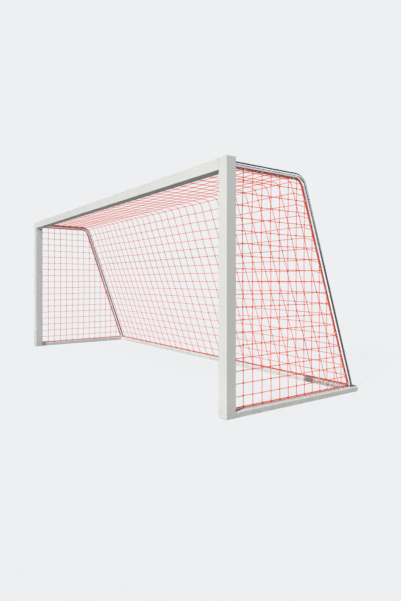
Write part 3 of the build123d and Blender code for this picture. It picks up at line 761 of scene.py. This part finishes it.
def netting_and_ropes():
    """Makes the four edge ropes and the three panels of netting, each in place of its CAD node."""
    twine = twisted_yarn("net_twine", *TWINE_YARN)
    # the side ropes get painted shade under the hoops' level runs
    side_rope = twisted_yarn("edge_rope", *SIDE_ROPE_YARN, shaded_under_run=True)
    level_rope = twisted_yarn("edge_rope_level", *LEVEL_ROPE_YARN)
    for which in ("right", "left"):
        hoop = Hoop(f"net_hoop_{which}")
        low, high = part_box(f"net_edge_rope_{which}")
        front, floor = low.y + ROPE_RADIUS, low.z + ROPE_RADIUS
        rope(side_rope_line(hoop, front, floor), (1, 0, 0), which, side_rope)
        side_netting(SidePanel(hoop, front, floor), which, twine)
    places = {}
    for which in ("crossbar", "rear"):
        low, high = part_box(f"net_edge_rope_{which}")
        middle = (low + high) / 2
        places[which] = (middle.y, middle.z)
        line = np.array([(low.x, middle.y, middle.z), (high.x, middle.y, middle.z)])
        rope(line, (0, 0, 1), which, level_rope)
    roof_netting(Roof(Hoop("net_hoop_right"), places["crossbar"], places["rear"]), twine)


# ================= floor, light and camera =================
def make_floor():
    """A pale studio floor that glows evenly, so it stays pale in the goal's shadow and lights nothing."""
    half = FLOOR_HALF
    corners = [(-half, -half, 0), (half, -half, 0), (half, half, 0), (-half, half, 0)]
    mesh = bpy.data.meshes.new("floor")
    mesh.from_pydata(corners, [], [(0, 1, 2, 3)])
    floor = bpy.data.objects.new("floor", mesh)
    bpy.context.scene.collection.objects.link(floor)
    floor.location.z = cad_box[0].z - FLOOR_GAP
    shader = Shader(
        "floor",
        roughness=0.9,
        Base_Color=(0.05, 0.05, 0.05, 1),
        Specular_IOR_Level=0.0,
        Emission_Color=(*BACKGROUND, 1),
        Emission_Strength=FLOOR_GLOW,
    )
    mesh.materials.append(shader.material)
    for kind in ("visible_diffuse", "visible_glossy", "visible_transmission", "visible_shadow"):
        setattr(floor, kind, False)


def soft_fill(nodes, z):
    """The light that reaches dull surfaces: dim all round, and more of it from below, as off a pale floor."""
    fill = nodes.node("ValToRGB", {"Fac": nodes.fit(z, -1.0, 1.0)})
    stops = fill.color_ramp.elements
    stops[0].color = (0.215, 0.28, 0.275, 1)
    stops[1].color = (0.10, 0.10, 0.102, 1)
    stops.new(0.5).color = (0.07, 0.07, 0.07, 1)
    return fill.outputs["Color"]


def mirrored_studio(nodes, way, x, y, z):
    """What bright metal mirrors: a dark room with a big soft box and two brighter lamps.

    The soft box stands on the right, behind a bowed edge, and ends a little above level. Towards the back
    it is cut off on the far right and dimmed where it is level, which draws the dark lines on the tubes.
    One lamp stands behind on the right. The other is wide and low in front, at half strength.
    """
    back = nodes.fit(y, -0.25, 0.0)
    cut = nodes.product(nodes.fit(x, 0.66, 0.76), back)
    bowed = nodes.math("ADD", x, nodes.product(z, z, 1.2))
    box = nodes.product(nodes.fit(bowed, 0.54, 0.66), nodes.math("SUBTRACT", 1.0, cut))
    box = nodes.product(box, nodes.fit(z, 0.08, 0.30, 1.0, 0.0))
    level = nodes.fit(nodes.math("ABSOLUTE", nodes.math("ADD", z, 0.05)), 0.10, 0.26, 0.75, 0.0)
    box = nodes.product(box, nodes.math("SUBTRACT", 1.0, nodes.product(level, back)))
    room = nodes.blend(box, (0.10, 0.11, 0.115), (1.12, 1.12, 1.13))
    aim = nodes.node("VectorMath", {0: way, 1: (0.66, 0.70, 0.27)}, operation="DOT_PRODUCT")
    lamp = nodes.fit(aim.outputs["Value"], 0.972, 0.990)
    front = nodes.product(nodes.fit(y, -0.40, -0.15, 0.5, 0.0), nodes.fit(z, -0.42, -0.28, 1.0, 0.0))
    return nodes.blend(nodes.math("MAXIMUM", lamp, front), room, (2.6, 2.6, 2.6))


def make_world():
    """Pale to the camera, a lit studio in bright metal, and a soft fill for all else."""
    world = bpy.data.worlds.new("studio")
    bpy.context.scene.world = world
    world.use_nodes = True
    world.cycles.sampling_method = "NONE"
    nodes = Nodes(world.node_tree)
    nodes.tree.nodes.clear()
    way = nodes.node("TexCoord").outputs["Generated"]
    facing = nodes.node("SeparateXYZ", {"Vector": way})
    x, y, z = (facing.outputs[axis] for axis in "XYZ")
    path = nodes.node("LightPath")
    mirrored = mirrored_studio(nodes, way, x, y, z)
    light = nodes.blend(path.outputs["Is Glossy Ray"], soft_fill(nodes, z), mirrored)
    seen = nodes.blend(path.outputs["Is Camera Ray"], light, BACKGROUND)
    glow = nodes.node("Background", {"Color": seen})
    out = nodes.node("OutputWorld")
    nodes.tree.links.new(glow.outputs[0], out.inputs["Surface"])


def make_sun(name, direction, strength, angle, mirrored):
    light = bpy.data.lights.new(name, "SUN")
    light.energy = strength
    light.angle = math.radians(angle)
    lamp = bpy.data.objects.new(name, light)
    lamp.rotation_euler = Vector(direction).to_track_quat("-Z", "Y").to_euler()
    lamp.visible_glossy = mirrored
    bpy.context.scene.collection.objects.link(lamp)


def make_camera():
    data = bpy.data.cameras.new("camera")
    data.lens = CAMERA_LENS
    data.shift_x, data.shift_y = CAMERA_SHIFT
    data.clip_end = 200.0
    camera = bpy.data.objects.new("camera", data)
    camera.location = CAMERA_PLACE
    camera.rotation_euler = (math.pi / 2, 0, math.radians(CAMERA_HEADING))
    bpy.context.scene.collection.objects.link(camera)
    bpy.context.scene.camera = camera


make_camera()
netting_and_ropes()
paint_nodes()
make_floor()
make_world()
for name, settings in LIGHTS.items():
    make_sun(name, *settings)
bpy.context.scene.view_settings.view_transform = "Standard"
